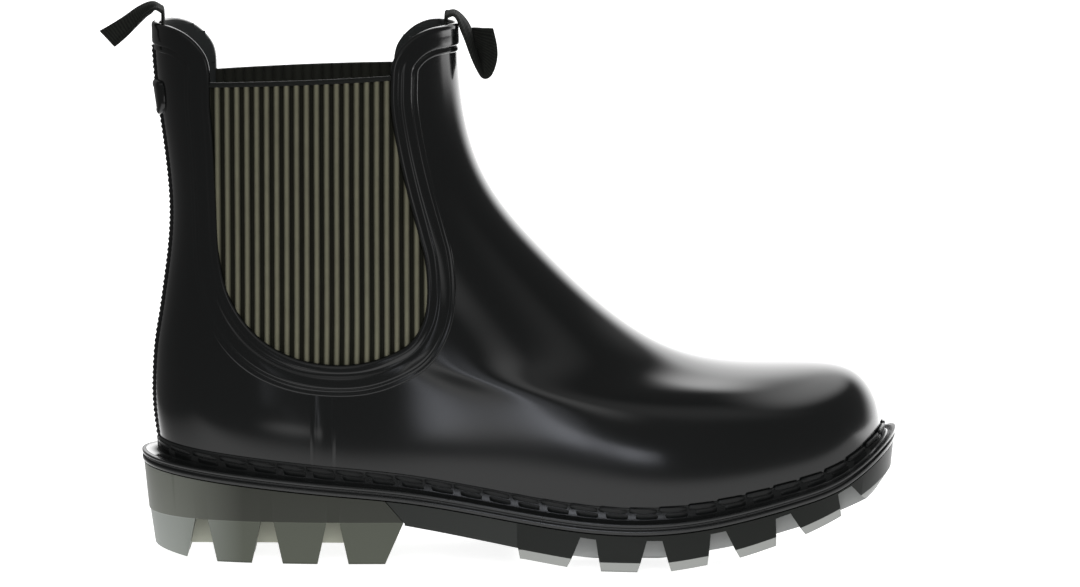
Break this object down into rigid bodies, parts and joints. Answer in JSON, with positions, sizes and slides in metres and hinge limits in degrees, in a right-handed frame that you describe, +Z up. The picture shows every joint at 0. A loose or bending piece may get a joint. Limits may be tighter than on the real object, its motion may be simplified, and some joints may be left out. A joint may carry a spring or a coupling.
{
  "type": "chelsea rain boot",
  "caption": "Ankle-high moulded chelsea rain boot with ribbed elastic side gussets, webbing pull loops, a welted rim and a chunky lugged sole with a contrast heel block.",
  "frame": {"origin": "on the floor under the middle of the second heel bar, centred across the heel", "axes": "+X towards the toe, +Y towards the inner side of the foot, +Z up out of the collar"},
  "size_m": [0.3036, 0.0998, 0.2092],
  "materials": {
    "upper_gloss": "satin gloss moulded PVC, black",
    "welt_black": "smooth moulded black, satin",
    "outsole_black": "black, satin to matte",
    "heel_olive": "smoky olive green, slightly translucent satin",
    "gusset_elastic": "ribbed elastic, olive grey ribs over dark grooves",
    "webbing_black": "woven polyester webbing, black",
    "lining_grey": "knitted lining and footbed cover, dark grey"
  },
  "bodies": {
    "root": {"upper": "upper_gloss", "gusset_outer": "gusset_elastic", "gusset_inner": "gusset_elastic", "welt": "welt_black", "outsole": "outsole_black", "heel": "heel_olive", "insole": "lining_grey", "pull_loop_front": "webbing_black", "pull_loop_back": "webbing_black", "back_badge": "upper_gloss"}
  },
  "joints": []
}
